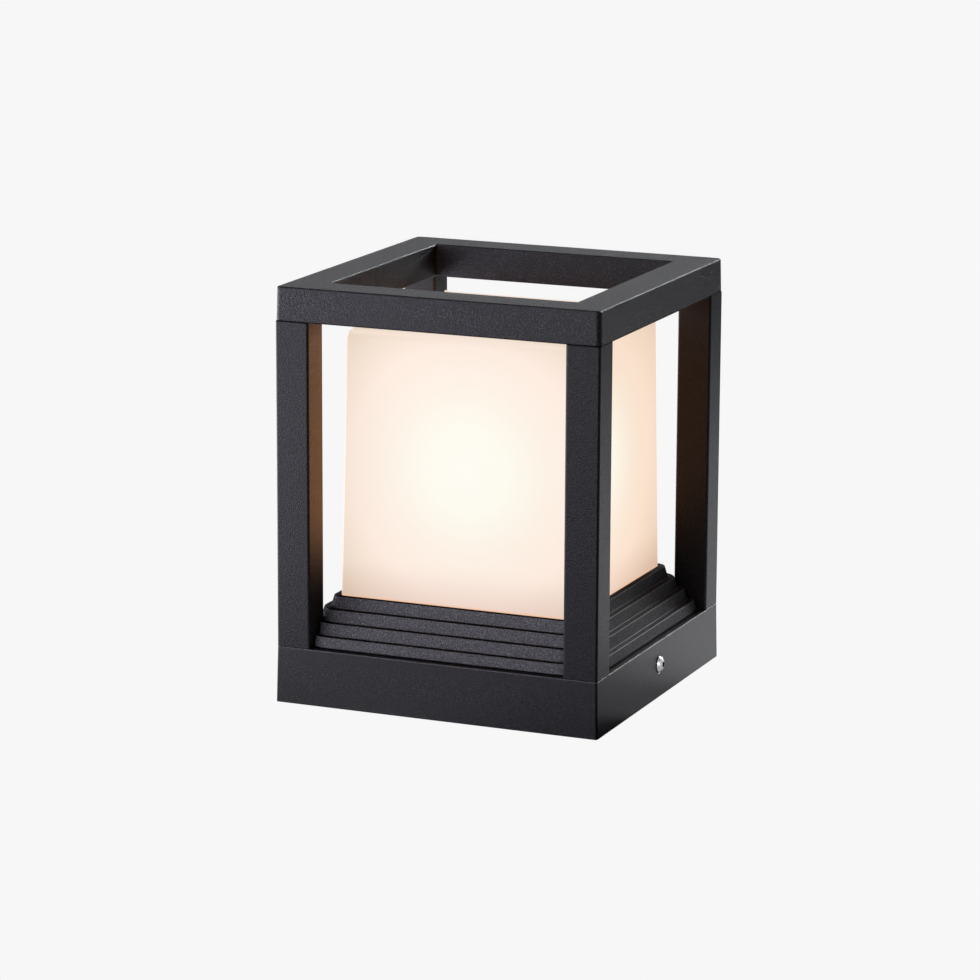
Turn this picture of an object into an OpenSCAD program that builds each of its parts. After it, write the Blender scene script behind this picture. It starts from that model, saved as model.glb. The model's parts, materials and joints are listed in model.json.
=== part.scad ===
// Square pillar-top lantern: a cast base with a stepped plinth, four posts, an open top ring,
// a frosted shade over a lamp in a screw lampholder, and the bracket that it is fixed by.
// Millimetres. +Z is up, the front faces -Y, and the origin is at the middle of the underside.

/* [Cage] */
// Width and depth over the four posts
frame_w = 201; // [185:1:230]
// Width of a post, seen from the front
post_w = 21; // [20:0.5:22]
// Depth of a post, seen from the front
post_d = 20; // [19:0.5:22]
// Length of a post, from the base to the top ring
post_len = 193.5; // [170:0.5:260]
// Wall of the hollow posts
post_wall = 2.5; // [2:0.25:3]
// Radius of the posts' long edges
post_edge_r = 1.5; // [0.5:0.25:3]
// Outer radius of the round screw channel inside a post
channel_r = 5; // [4.5:0.25:6]
// Thickness of the webs that hold the screw channel
web_t = 1.6; // [1.2:0.2:2.4]
// Width of the top ring's rails, seen from above
rail_w = 23.8; // [22:0.2:26]
// Height of the top ring
ring_h = 20; // [18:0.5:28]
// Wall of the top ring's rails
ring_wall = 3.5; // [2.5:0.25:4.5]
// Radius of the top ring's upright corners
ring_corner_r = 3; // [1:0.5:6]
// Draft of the cast ring and base, in degrees
cast_draft = 1.15; // [0.5:0.05:2]

/* [Base] */
// Height of the base
base_h = 33.5; // [32:0.5:44]
// Wall of the base's four sides
base_wall = 3.5; // [2.5:0.25:4.5]
// Thickness of the base's top
base_plate_t = 4; // [3:0.25:5]
// Radius of the base's upright corners
base_corner_r = 1.5; // [0.5:0.25:4]
// Width of the base's top plate, from its edge to its square opening
plate_rim = 50.5; // [48:0.5:53]
// Length of the corner bosses below the base's top
boss_len = 15.5; // [10:0.5:18]
// Width of the corner bosses, from the inside of the wall
boss_w = 19; // [17:0.5:20]

/* [Stepped plinth] */
// Number of steps
tier_count = 4; // [4:1:5]
// Height of one step
tier_h = 6.85; // [6.5:0.05:8]
// How far each riser leans out from its top to its foot
riser_lean = 2.1; // [0.5:0.1:2.4]
// Width of the ledge round the shade's foot
shade_ledge = 4.3; // [3.5:0.1:5]
// Wall of the plinth
plinth_wall = 4; // [3:0.25:4.5]
// Thickness of the plinth's top
plinth_plate_t = 4; // [3.5:0.25:4.5]
// Radius of the shade's upright corners, which the steps follow
shade_corner_r = 2.1; // [1:0.1:6]
// Radius of the screw bosses inside the plinth
plinth_boss_r = 5; // [4:0.25:6]

/* [Shade] */
// Gap between the shade's foot and the ring's opening, so that it lifts out
shade_gap = 4.2; // [2:0.1:8]
// Gap between the shade's top and the ring's underside
shade_top_gap = 6.1; // [3:0.1:20]
// Thickness of the shade
shade_wall = 3; // [2:0.25:3.5]
// Draft of the shade's sides, in degrees
shade_draft = 0.93; // [0.3:0.01:1.5]
// Radius of the shade's top edges
shade_edge_r = 3; // [2:0.25:6]
// Depth of the groove that the shade stands in
seat_depth = 1.3; // [1.1:0.1:1.6]
// Thickness of the rubber seat under the shade
seat_gasket_t = 1; // [0.6:0.1:1]
// Width of a shade spring
spring_w = 10; // [8:0.5:14]
// Height of a shade spring
spring_h = 14; // [10:0.5:20]

/* [Lamp] */
// Outer radius of the ceramic lampholder
holder_r = 22; // [20:0.5:24]
// Height of the ceramic lampholder
holder_h = 42; // [40:0.5:50]
// Thickness of the lampholder's floor
holder_floor = 12; // [10:0.5:13]
// How far the strap hangs below the plinth's top
strap_drop = 19.4; // [16:0.1:20]
// Width of the strap
strap_w = 26; // [20:1:34]
// Radius of the lamp's screw cap
cap_r = 13.1; // [12.9:0.05:13.2]
// Height of the lamp's screw cap over its insulator
cap_h = 23; // [21:0.5:25]
// Radius of the lamp's globe
globe_r = 30; // [27:0.5:34]
// Height of the globe's middle over the lamp's contact
globe_rise = 78; // [74:0.5:90]
// Wall of the lamp's globe and housing
globe_wall = 1.4; // [1:0.1:2]

/* [Wiring] */
// Thickness of the cover under the base's top
cover_t = 2; // [1.5:0.25:3]
// How far the cover laps over the opening's edge
cover_lap = 12; // [11:0.5:12]
// Thickness of the gaskets under the plinth and on the cover
gasket_t = 1; // [0.6:0.1:1.4]
// Distance of the cable gland from the middle, towards the front
gland_y = 26; // [22:0.5:28]
// Radius of the cable that the gland takes
cable_r = 4; // [3:0.25:4.5]
// Radius of a lead
lead_r = 1.2; // [0.9:0.1:1.3]

/* [Fixing] */
// Thickness of the bracket
bracket_t = 2.5; // [2:0.25:3.5]
// Depth of the bracket, from front to back
bracket_d = 110; // [100:1:124]
// Width of the square opening in the bracket
bracket_window = 80; // [78:1:86]
// Spacing of the anchor holes, from left to right
anchor_x = 136; // [126:1:150]
// Spacing of the anchor holes, from front to back
anchor_y = 76; // [60:1:84]
// Radius of the anchor holes
anchor_r = 3.5; // [2.5:0.25:5]
// How far the side screws lie below the base's top edge
lock_drop = 13.7; // [13.5:0.1:15]
// Width of the bracket's ears
ear_w = 30; // [24:1:40]
// Radius of a side screw's head
lock_head_r = 4.75; // [4.25:0.25:5.25]
// Height of a side screw's head
lock_head_h = 2.75; // [2:0.05:3.5]

/* [Hidden] */

// Clearances and the sizes of standard fasteners
fit_gap = 0.3;
hole_gap = 0.25;
thread_gap = 0.1;
hole_spare = 2;
screw_bite = 2.7;
cut = 1;
slice = 0.01;
m3_r = 1.5;
m4_r = 2;
m5_r = 2.5;

// Heights
plate_under = base_h - base_plate_t;
plinth_foot = base_h + gasket_t;
plinth_top = base_h + tier_count * tier_h;
plinth_under = plinth_top - plinth_plate_t;
ring_z = base_h + post_len;
lock_z = base_h - lock_drop;
ear_h = plate_under - 5 * fit_gap;

// Half widths and centres in plan
half_w = frame_w / 2;
base_in = half_w - base_wall;
window_w = frame_w - 2 * plate_rim;
ring_in = half_w - rail_w;
post_x = half_w - post_w / 2;
post_y = half_w - post_d / 2;

// The steps share what is left between the shade's ledge and the base's edge
shade_hw = ring_in - shade_gap;
tier_top_hw = shade_hw + shade_ledge;
tread_w = (half_w - tier_top_hw - tier_count * riser_lean) / tier_count;
corner_c = shade_hw - shade_corner_r;
plinth_screw_c = tier_top_hw - plinth_wall - 3;
plinth_screw_bite = 11;

// The shade and its seat
seat_z = plinth_top - seat_depth;
shade_z = seat_z + seat_gasket_t;
shade_top_z = ring_z - shade_top_gap;
shade_in = shade_hw - shade_wall;
seat_in = shade_in - 0.8;
seat_out = shade_hw + 0.8;

// The lampholder and the lamp
strap_t = 1.5;
strap_z = plinth_under - strap_drop;
strap_leg_x = holder_r + 8.5;
strap_screw_x = strap_leg_x + 8.5;
strap_end_x = strap_screw_x + 7;
holder_top_z = strap_z + holder_h;
floor_z = strap_z + holder_floor;
shell_gap = 0.4;
shell_t = 0.6;
shell_or = cap_r + shell_gap + shell_t;
holder_screw_x = 12;
contact_h = 3.2;
tip_z = floor_z + contact_h + fit_gap;
insulator_z = tip_z + 1;
cap_z = insulator_z + 3;
cap_top_z = cap_z + cap_h;
globe_z = tip_z + globe_rise;
globe_cut_z = globe_z - globe_r * 0.55;
globe_cut_r = sqrt(pow(globe_r, 2) - pow(globe_z - globe_cut_z, 2));
neck_r = cap_r + 0.8;

// The cover, the gland and the terminal block
cover_hw = window_w / 2 + cover_lap;
cover_z = plate_under - gasket_t - cover_t;
cover_top_z = cover_z + cover_t;
cover_screw_c = window_w / 2 + cover_lap / 2;
gland_thread_r = 8;
gland_hex_r = 12;
gland_nut_h = 4;
gland_collar_h = 5;
gland_washer_t = 1.5;
gland_spigot_len = 8;
gland_spigot_r = 9;
gland_cap_h = 11;
collar_z = cover_z - gland_washer_t - gland_collar_h;
seal_out_r = cable_r + 2.2;
seal_len = 7;
block_w = 36;
block_d = 20;
block_h = 15;
block_y = window_w / 2 - block_d / 2 - 2;
pole_pitch = 11;
sleeve_r = 2.8;
wire_z = cover_top_z + 7;
earth_x = 40;
earth_y = 30;

// The bracket and the side screws
ear_out = base_in - fit_gap;
ear_in = ear_out - bracket_t;
bracket_bend = 3;
washer_t = 0.5;
washer_r = lock_head_r + 0.25;
spot_r = washer_r + 0.6;
nut_plate_t = 4;
nut_plate_w = 18;
nut_plate_h = 15;
lock_len = 16;

// Colours
paint = "#2c2c2f";
opal = "#f6e6d6";
steel = "#b9bcc0";
zinc = "#9a9da2";
brass_tone = "#b99a4e";
porcelain = "#ece8df";
rubber_tone = "#17171a";

// A square with round corners
module soft_square(w, r) {
    offset(r = r, $fn = 32) square(w - 2 * r, center = true);
}

// A square block with round corners whose sides lean from its foot to its top
module leaning_block(w_low, w_high, r_low, r_high, z_low, z_high) {
    hull() {
        translate([0, 0, z_low]) linear_extrude(slice) soft_square(w_low, r_low);
        translate([0, 0, z_high - slice]) linear_extrude(slice) soft_square(w_high, r_high);
    }
}

// A plain square block between two heights
module block(half, z_low, z_high) {
    translate([-half, -half, z_low]) cube([2 * half, 2 * half, z_high - z_low]);
}

// A copy of the children at each of four corners, mirrored
module at_corners(x, y) {
    for (sx = [-1, 1])
        for (sy = [-1, 1])
            translate([sx * x, sy * y, 0])
                mirror([sx < 0 ? 1 : 0, 0, 0]) mirror([0, sy < 0 ? 1 : 0, 0]) children();
}

// Four positions at the middles of the sides
module at_sides(distance) {
    for (a = [0:90:270])
        rotate([0, 0, a]) translate([distance, 0, 0]) children();
}

// A screw along +Z whose head bears on z = 0, with a hexagon socket
module screw(r, length, head_r, head_h, socket_r) {
    difference() {
        union() {
            translate([0, 0, -head_h]) cylinder(r = head_r, h = head_h, $fn = 48);
            cylinder(r = r, h = length, $fn = 48);
        }
        translate([0, 0, -head_h - cut]) cylinder(r = socket_r, h = head_h / 2 + cut, $fn = 6);
    }
}

// A flat ring along +Z
module ring(r_out, r_in, h) {
    difference() {
        cylinder(r = r_out, h = h, $fn = 64);
        translate([0, 0, -cut]) cylinder(r = r_in, h = h + 2 * cut, $fn = 64);
    }
}

// ---- Cage ----

module post_section() {
    inner = [post_w - 2 * post_wall, post_d - 2 * post_wall];
    difference() {
        offset(r = post_edge_r, $fn = 32)
            square([post_w - 2 * post_edge_r, post_d - 2 * post_edge_r], center = true);
        difference() {
            square(inner, center = true);
            circle(r = channel_r, $fn = 64);
            square([post_w, web_t], center = true);
            square([web_t, post_d], center = true);
        }
        circle(r = m5_r + hole_gap, $fn = 64);
    }
}

module post(side_x, side_y) {
    color(paint)
        translate([side_x * post_x, side_y * post_y, base_h])
            linear_extrude(post_len) post_section();
}

module ring_channel() {
    rail_mid = ring_in + ring_wall;
    difference() {
        square(2 * (half_w - ring_wall), center = true);
        square(2 * rail_mid, center = true);
        for (sx = [-1, 1])
            for (sy = [-1, 1])
                translate([sx * half_w, sy * half_w]) square(2 * rail_w, center = true);
    }
}

module top_ring() {
    top_hw = half_w - ring_h * tan(cast_draft);
    color(paint)
        difference() {
            leaning_block(2 * half_w, 2 * top_hw, ring_corner_r, ring_corner_r,
                ring_z, ring_z + ring_h);
            block(ring_in, ring_z - cut, ring_z + ring_h + cut);
            translate([0, 0, ring_z - cut])
                linear_extrude(ring_h - ring_wall + cut) ring_channel();
            at_corners(post_x, post_y)
                translate([0, 0, ring_z - cut])
                    cylinder(r = m5_r + thread_gap, h = ring_h - ring_wall + cut, $fn = 48);
        }
}

module tie_bolts() {
    head_h = 5;
    under = plate_under - boss_len - washer_t;
    length = ring_z + ring_h - ring_wall - hole_spare - under;
    color(zinc)
        at_corners(post_x, post_y)
            translate([0, 0, under]) screw(m5_r, length, 4.25, head_h, 2.3);
}

module tie_washers() {
    color(zinc)
        at_corners(post_x, post_y)
            translate([0, 0, plate_under - boss_len - washer_t])
                ring(m5_r + 2.5, m5_r + hole_gap, washer_t);
}

// ---- Base ----

module base_housing() {
    foot_hw = half_w + base_h * tan(cast_draft);
    color(paint)
        difference() {
            leaning_block(2 * foot_hw, 2 * half_w, base_corner_r, base_corner_r, 0, base_h);
            difference() {
                block(base_in, -cut, plate_under);
                at_corners(base_in - boss_w, base_in - boss_w)
                    translate([0, 0, plate_under - boss_len])
                        cube([boss_w + cut, boss_w + cut, boss_len + cut]);
            }
            block(window_w / 2, plate_under - cut, base_h + cut);
            at_corners(post_x, post_y)
                translate([0, 0, -cut])
                    cylinder(r = m5_r + hole_gap, h = base_h + 2 * cut, $fn = 48);
            at_corners(plinth_screw_c, plinth_screw_c)
                translate([0, 0, plate_under - cut])
                    cylinder(r = m4_r + hole_gap, h = base_plate_t + 2 * cut, $fn = 48);
            at_sides(cover_screw_c)
                translate([0, 0, plate_under - cut])
                    cylinder(r = m4_r + thread_gap, h = base_plate_t - 0.5 + cut, $fn = 48);
            for (side = [-1, 1])
                mirror([side < 0 ? 1 : 0, 0, 0]) lock_hole();
        }
}

// The hole for a side screw, with a flat for its washer
module lock_hole() {
    translate([base_in - cut, 0, lock_z])
        rotate([0, 90, 0]) cylinder(r = m5_r + hole_gap, h = base_wall + 4, $fn = 48);
    translate([half_w, 0, lock_z])
        rotate([0, 90, 0]) cylinder(r = spot_r, h = 4, $fn = 64);
}

// ---- Stepped plinth ----

function tier_hw(i) = tier_top_hw + i * (riser_lean + tread_w);
function tier_top(i) = plinth_top - i * tier_h;

// One step, carried on down to the plinth's foot
module tier(i) {
    foot_hw = tier_hw(i) + riser_lean * (tier_top(i) - plinth_foot) / tier_h;
    leaning_block(2 * foot_hw, 2 * tier_hw(i), foot_hw - corner_c, tier_hw(i) - corner_c,
        plinth_foot, tier_top(i));
}

// What the corners give up to the posts
module post_notches(gap) {
    at_corners(half_w - post_w - gap, half_w - post_d - gap)
        translate([0, 0, plinth_foot - cut]) cube([frame_w, frame_w, plinth_top]);
}

module plinth_cavity() {
    difference() {
        for (i = [0:tier_count - 1])
            block(tier_hw(i) - plinth_wall, plinth_foot - cut, tier_top(i) - plinth_plate_t);
        post_notches(fit_gap + plinth_wall);
        at_corners(plinth_screw_c, plinth_screw_c)
            translate([0, 0, plinth_foot - 2 * cut])
                cylinder(r = plinth_boss_r, h = plinth_top, $fn = 48);
    }
}

// The groove that the shade stands in
module seat_groove() {
    translate([0, 0, seat_z])
        linear_extrude(seat_depth + cut)
            difference() {
                soft_square(2 * seat_out, shade_corner_r);
                square(2 * seat_in, center = true);
            }
}

module stepped_plinth() {
    color(paint)
        difference() {
            for (i = [0:tier_count - 1])
                tier(i);
            plinth_cavity();
            post_notches(fit_gap);
            seat_groove();
            translate([0, 0, plinth_under - cut])
                cylinder(r = holder_r + 2, h = plinth_plate_t + 2 * cut, $fn = 96);
            at_corners(plinth_screw_c, plinth_screw_c)
                translate([0, 0, plinth_foot - cut])
                    cylinder(r = m4_r + thread_gap, h = plinth_screw_bite + hole_spare + cut,
                        $fn = 48);
            for (side = [-1, 1])
                translate([side * strap_screw_x, 0, plinth_under - cut])
                    cylinder(r = m4_r + thread_gap, h = screw_bite + thread_gap + cut, $fn = 48);
            translate([earth_x, earth_y, plinth_under - cut])
                cylinder(r = m4_r + thread_gap, h = screw_bite + thread_gap + cut, $fn = 48);
            at_sides(spring_screw_c)
                translate([0, 0, plinth_top - screw_bite - thread_gap])
                    cylinder(r = m3_r + thread_gap, h = screw_bite + thread_gap + cut, $fn = 48);
        }
}

// The plinth's outline in plan, drawn in by an edge on all sides
module foot_outline(edge) {
    half = tier_hw(tier_count - 1) - edge;
    from_x = half_w - post_w - fit_gap - edge;
    from_y = half_w - post_d - fit_gap - edge;
    square([2 * half, 2 * from_y], center = true);
    square([2 * from_x, 2 * half], center = true);
}

module plinth_gasket() {
    edge = 1.5;
    color(rubber_tone)
        translate([0, 0, base_h])
            linear_extrude(gasket_t)
                difference() {
                    foot_outline(edge);
                    foot_outline(plinth_wall);
                }
    color(rubber_tone)
        at_corners(plinth_screw_c, plinth_screw_c)
            translate([0, 0, base_h]) ring(plinth_boss_r, m4_r + hole_gap, gasket_t);
}

module plinth_screws() {
    color(zinc)
        at_corners(plinth_screw_c, plinth_screw_c)
            translate([0, 0, plate_under])
                screw(m4_r, base_plate_t + gasket_t + plinth_screw_bite, 3.8, 3, 1.6);
}

// ---- Shade ----

// The shade's outline, drawn in by an inset on all sides
module shade_form(inset, z_foot) {
    top_hw = shade_hw - (shade_top_z - shade_z) * tan(shade_draft);
    corner = max(shade_corner_r - inset, 0.5);
    edge = max(shade_edge_r - inset, 0.5);
    hull() {
        translate([0, 0, z_foot])
            linear_extrude(slice) soft_square(2 * (shade_hw - inset), corner);
        for (a = [0:30:90])
            translate([0, 0, shade_top_z - inset - edge * (1 - sin(a)) - slice])
                linear_extrude(slice)
                    soft_square(2 * (top_hw - inset - edge * (1 - cos(a))), corner);
    }
}

module shade() {
    color(opal)
        difference() {
            shade_form(0, shade_z);
            shade_form(shade_wall, shade_z - slice);
        }
}

module shade_gasket() {
    color(rubber_tone)
        translate([0, 0, seat_z])
            linear_extrude(seat_gasket_t)
                difference() {
                    soft_square(2 * seat_out - 0.4, shade_corner_r);
                    square(2 * seat_in + 0.4, center = true);
                }
}

spring_t = 0.6;
spring_foot = 12;
spring_reach = 3.2;
spring_root = shade_in - 2 * fit_gap - spring_reach - spring_t;
spring_screw_c = spring_root - spring_foot / 2;

// A leaf that leans out to the shade's inner wall and turns in again at its tip
module spring_leaf() {
    tip = spring_root + spring_reach;
    rotate([90, 0, 0])
        translate([0, 0, -spring_w / 2])
            linear_extrude(spring_w)
                polygon([
                    [spring_root - spring_foot, 0], [spring_root + spring_t, 0],
                    [tip + spring_t, spring_h * 0.75], [tip - spring_t, spring_h],
                    [tip - 2 * spring_t, spring_h], [tip, spring_h * 0.75],
                    [spring_root, spring_t], [spring_root - spring_foot, spring_t]
                ]);
}

module shade_springs() {
    color(steel)
        translate([0, 0, plinth_top])
            difference() {
                at_sides(0) spring_leaf();
                at_sides(spring_screw_c)
                    translate([0, 0, -cut])
                        cylinder(r = m3_r + hole_gap, h = spring_t + 2 * cut, $fn = 48);
            }
}

module spring_screws() {
    color(steel)
        at_sides(spring_screw_c)
            translate([0, 0, plinth_top + spring_t])
                mirror([0, 0, 1]) screw(m3_r, spring_t + screw_bite, 2.7, 1.8, 1.2);
}

// ---- Lampholder ----

module strap_outline() {
    outer_top = plinth_under - strap_z + strap_t;
    difference() {
        translate([-strap_end_x, 0]) square([2 * strap_end_x, outer_top]);
        translate([-strap_leg_x, strap_t]) square([2 * strap_leg_x, outer_top]);
        for (side = [-1, 1])
            translate([side * (strap_leg_x + strap_t + strap_end_x), 0])
                square([2 * strap_end_x, 2 * (outer_top - strap_t)], center = true);
    }
}

module holder_strap() {
    color(zinc)
        difference() {
            translate([0, strap_w / 2, strap_z - strap_t])
                rotate([90, 0, 0]) linear_extrude(strap_w) strap_outline();
            for (side = [-1, 1]) {
                translate([side * strap_screw_x, 0, strap_z])
                    cylinder(r = m4_r + hole_gap, h = strap_drop + cut, $fn = 48);
                translate([side * holder_screw_x, 0, strap_z - strap_t - cut])
                    cylinder(r = m3_r + hole_gap, h = strap_t + 2 * cut, $fn = 48);
            }
        }
}

module strap_screws() {
    color(zinc)
        for (side = [-1, 1])
            translate([side * strap_screw_x, 0, plinth_under - strap_t])
                screw(m4_r, strap_t + screw_bite, 3.8, 3, 1.6);
}

// The holes in the ceramic where the leads enter
lead_x = 7;
lead_z = strap_z + 7;
lead_depth = 5;
lead_mouth_y = sqrt(pow(holder_r, 2) - pow(lead_x, 2));

// The ring terminal at the earth lead's end
lug_t = 0.8;
lug_z = plinth_under - lug_t - lead_r * 2;

module lampholder_body() {
    color(porcelain)
        difference() {
            translate([0, 0, strap_z]) cylinder(r = holder_r, h = holder_h, $fn = 96);
            translate([0, 0, floor_z])
                cylinder(r = shell_or + thread_gap, h = holder_h, $fn = 96);
            for (side = [-1, 1]) {
                translate([side * holder_screw_x, 0, strap_z - cut])
                    cylinder(r = m3_r + hole_gap, h = holder_floor + 2 * cut, $fn = 48);
                translate([side * lead_x, lead_mouth_y - lead_depth, lead_z])
                    rotate([-90, 0, 0])
                        cylinder(r = lead_r + hole_gap, h = holder_r, $fn = 32);
            }
        }
}

module lampholder_shell() {
    color(brass_tone)
        translate([0, 0, floor_z + contact_h])
            ring(shell_or, shell_or - shell_t, holder_h - holder_floor - contact_h - 2);
}

// The springy strip under the lamp's tip
module lampholder_contact() {
    t = 0.6;
    width = 6;
    foot = 8;
    rise = 3;
    crest = 2;
    half = [
        [foot, 0], [foot, t], [rise + 0.6 * t, t], [crest + 0.6 * t, contact_h]
    ];
    inner = [[rise, 0], [crest, contact_h - t]];
    color(brass_tone)
        translate([0, width / 2, floor_z])
            rotate([90, 0, 0])
                linear_extrude(width)
                    polygon(concat(
                        [for (p = half) p], [for (i = [3:-1:0]) [-half[i][0], half[i][1]]],
                        [for (p = inner) [-p[0], p[1]]], [inner[1], inner[0]]));
}

module lampholder_screws() {
    color(steel)
        for (side = [-1, 1])
            translate([side * holder_screw_x, 0, floor_z])
                mirror([0, 0, 1])
                    screw(m3_r, holder_floor + strap_t + 3, 1.9, 1.8, 1.2);
}

module lampholder_nuts() {
    color(steel)
        for (side = [-1, 1])
            translate([side * holder_screw_x, 0, strap_z - strap_t - 2.4])
                difference() {
                    cylinder(r = 3.1, h = 2.4, $fn = 6);
                    translate([0, 0, -cut])
                        cylinder(r = m3_r + thread_gap, h = 2.4 + 2 * cut, $fn = 48);
                }
}

// ---- Lamp ----

module bulb_globe() {
    color(opal)
        rotate_extrude($fn = 96)
            difference() {
                translate([0, globe_z]) circle(r = globe_r, $fn = 96);
                translate([0, globe_z]) circle(r = globe_r - globe_wall, $fn = 96);
                translate([-2 * globe_r, globe_z - 2 * globe_r])
                    square([2 * globe_r, 4 * globe_r]);
                translate([-cut, globe_z - 2 * globe_r])
                    square([2 * globe_r, 2 * globe_r - (globe_z - globe_cut_z)]);
            }
}

module bulb_housing() {
    seat = globe_cut_z - 3;
    color("#f0efec")
        rotate_extrude($fn = 96)
            polygon([
                [cap_r - 0.6 - globe_wall, cap_top_z - 8], [cap_r - 0.6, cap_top_z - 8],
                [cap_r - 0.6, cap_top_z], [neck_r, cap_top_z],
                [globe_cut_r, globe_cut_z], [globe_cut_r - 2.6, globe_cut_z],
                [globe_cut_r - 2.6, seat], [neck_r - globe_wall, cap_top_z + 2]
            ]);
}

module bulb_cap() {
    t = 0.5;
    color(steel)
        rotate_extrude($fn = 96)
            polygon([
                [8, cap_z - 1], [8, cap_z - 1 + t], [cap_r - t, cap_z + 3],
                [cap_r - t, cap_top_z], [cap_r, cap_top_z], [cap_r, cap_z + 3 - t],
                [8.6, cap_z - 1]
            ]);
}

module bulb_insulator() {
    color(rubber_tone)
        rotate_extrude($fn = 64)
            polygon([[0, insulator_z], [5, insulator_z], [8, cap_z - 1], [8, cap_z], [0, cap_z]]);
}

module bulb_contact() {
    color(steel)
        translate([0, 0, tip_z]) cylinder(r = 4.5, h = insulator_z - tip_z, $fn = 48);
}

module led_board() {
    board_t = 1.6;
    chips = 10;
    chip = 3;
    color("white")
        translate([0, 0, globe_cut_z - 3]) {
            cylinder(r = globe_cut_r - 3.2, h = board_t, $fn = 96);
            for (i = [0:chips - 1])
                rotate([0, 0, 360 / chips * i])
                    translate([globe_cut_r - 11, -chip / 2, board_t - 0.2])
                        cube([chip, chip, 0.9]);
        }
}

// ---- Wiring ----

module at_poles() {
    for (i = [-1:1])
        translate([i * pole_pitch, block_y, 0]) children();
}

module terminal_block() {
    color("#e9e7e0")
        difference() {
            translate([-block_w / 2, block_y - block_d / 2, cover_top_z])
                cube([block_w, block_d, block_h]);
            at_poles() {
                translate([0, block_d / 2 + cut, wire_z])
                    rotate([90, 0, 0])
                        cylinder(r = sleeve_r + thread_gap, h = block_d + 2 * cut, $fn = 48);
                for (side = [-1, 1])
                    translate([0, side * block_d / 4, wire_z])
                        cylinder(r = m3_r + hole_gap, h = block_h, $fn = 32);
            }
            at_block_screws()
                translate([0, 0, -cut]) cylinder(r = m3_r + hole_gap, h = block_h * 2, $fn = 32);
            at_block_screws()
                translate([0, 0, 6]) cylinder(r = 2.6, h = block_h, $fn = 32);
        }
}

module at_block_screws() {
    for (side = [-1, 1])
        translate([side * pole_pitch / 2, block_y, cover_top_z]) children();
}

module terminal_sleeves() {
    color(brass_tone)
        at_poles()
            difference() {
                translate([0, block_d / 2 - 1, wire_z])
                    rotate([90, 0, 0]) cylinder(r = sleeve_r, h = block_d - 2, $fn = 48);
                translate([0, block_d / 2, wire_z])
                    rotate([90, 0, 0])
                        cylinder(r = lead_r + hole_gap, h = block_d + cut, $fn = 48);
                for (side = [-1, 1])
                    translate([0, side * block_d / 4, wire_z])
                        cylinder(r = m3_r + thread_gap, h = block_h, $fn = 32);
            }
}

module terminal_screws() {
    color(steel)
        at_poles()
            for (side = [-1, 1])
                translate([0, side * block_d / 4, wire_z + lead_r + fit_gap])
                    cylinder(r = m3_r, h = 4.5, $fn = 32);
}

module block_screws() {
    color(zinc)
        at_block_screws()
            translate([0, 0, 6]) mirror([0, 0, 1]) screw(m3_r, 6 + cover_t, 2.4, 1.8, 1.2);
}

// Routes of the leads, from the terminal block over its top to where they end
wire_in_y = block_y + block_d / 2 - 3;
function lead_route(x0, x1) = [
    [x0, wire_in_y - 4, wire_z], [x0, wire_in_y, wire_z], [x0, block_y + 15, wire_z],
    [x0, block_y + 19, wire_z + 6], [(x0 + x1) / 2, block_y + 10, cover_top_z + block_h + 5],
    [x1, block_y - 6, cover_top_z + block_h + 4], [x1, lead_mouth_y + 6, lead_z + 3],
    [x1, lead_mouth_y, lead_z], [x1, lead_mouth_y - lead_depth + 1, lead_z],
    [x1, lead_mouth_y - lead_depth - 3, lead_z]
];
earth_route = [
    [0, wire_in_y - 4, wire_z], [0, wire_in_y, wire_z], [0, block_y + 15, wire_z],
    [3, block_y + 20, wire_z + 5], [14, block_y + 18, cover_top_z + block_h + 5],
    [28, block_y + 14, lug_z - 1], [earth_x - 1, earth_y + 14, lug_z + lead_r],
    [earth_x, earth_y + 9, lug_z + lead_r], [earth_x, earth_y + 7, lug_z + lead_r],
    [earth_x, earth_y + 4, lug_z + lead_r]
];

// A smooth curve through the route's points; the first and last only steer its ends
curve_steps = 3;
function curve(p, i, t) = 0.5 * (2 * p[i] + (p[i + 1] - p[i - 1]) * t
    + (2 * p[i - 1] - 5 * p[i] + 4 * p[i + 1] - p[i + 2]) * pow(t, 2)
    + (3 * p[i] - p[i - 1] - 3 * p[i + 1] + p[i + 2]) * pow(t, 3));
function curve_points(p) = concat(
    [for (i = [1:len(p) - 3]) for (k = [0:curve_steps - 1]) curve(p, i, k / curve_steps)],
    [p[len(p) - 2]]);
function unit(v) = v / norm(v);

// A tube of eight sides along a route
module lead(route, tone) {
    sides = 8;
    p = curve_points(route);
    last = len(p) - 1;
    rings = [for (i = [0:last])
        let (along = unit(p[min(i + 1, last)] - p[max(i - 1, 0)]),
            across = unit(cross(along, [1, 0.01, 0])),
            third = cross(along, across))
        for (k = [0:sides - 1])
            p[i] + lead_r * (cos(360 / sides * k) * across + sin(360 / sides * k) * third)];
    walls = [for (i = [0:last - 1])
        for (k = [0:sides - 1])
            let (a = i * sides + k, b = i * sides + (k + 1) % sides)
                each [[a, a + sides, b], [b, a + sides, b + sides]]];
    ends = [[for (k = [0:sides - 1]) k], [for (k = [sides - 1:-1:0]) last * sides + k]];
    color(tone) polyhedron(points = rings, faces = concat(walls, ends), convexity = 6);
}

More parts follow.
